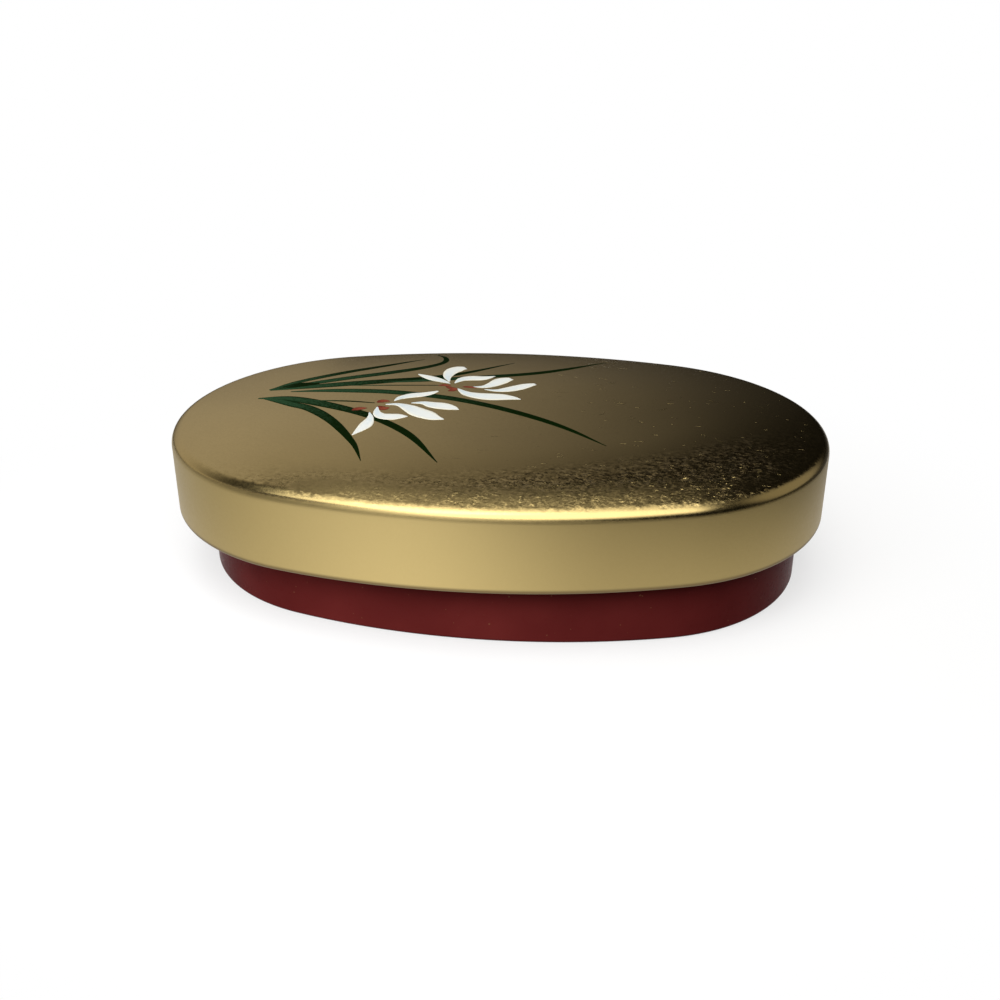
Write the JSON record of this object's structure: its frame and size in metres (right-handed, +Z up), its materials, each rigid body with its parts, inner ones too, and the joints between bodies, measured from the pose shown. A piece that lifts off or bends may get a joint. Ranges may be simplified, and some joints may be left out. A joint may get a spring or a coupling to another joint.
{
  "type": "trinket box",
  "caption": "Low oval trinket box with a loose, crowned, gold-leafed lid that lifts off and hangs over a dark red lacquered tray.",
  "frame": {"origin": "middle of the lid's outline, on the surface that the box stands on", "axes": "+X along the box's length, to the right in the front view, +Y to the back, +Z up"},
  "size_m": [0.12, 0.08, 0.0274],
  "materials": {
    "gold_leaf": "gold leaf over lacquered wood, satin metal sheen with fine scratches",
    "red_lacquer": "dark red lacquer over wood, half gloss"
  },
  "bodies": {
    "base": {"base_hoop": "red_lacquer", "base_floor_board": "red_lacquer"},
    "lid": {"lid_top_board": "gold_leaf", "lid_hoop": "gold_leaf"}
  },
  "joints": [
    {"name": "lid_lift", "type": "slide", "parent": "base", "child": "lid", "axis": [0, 0, 1], "range_m": [0, 0.03]}
  ]
}
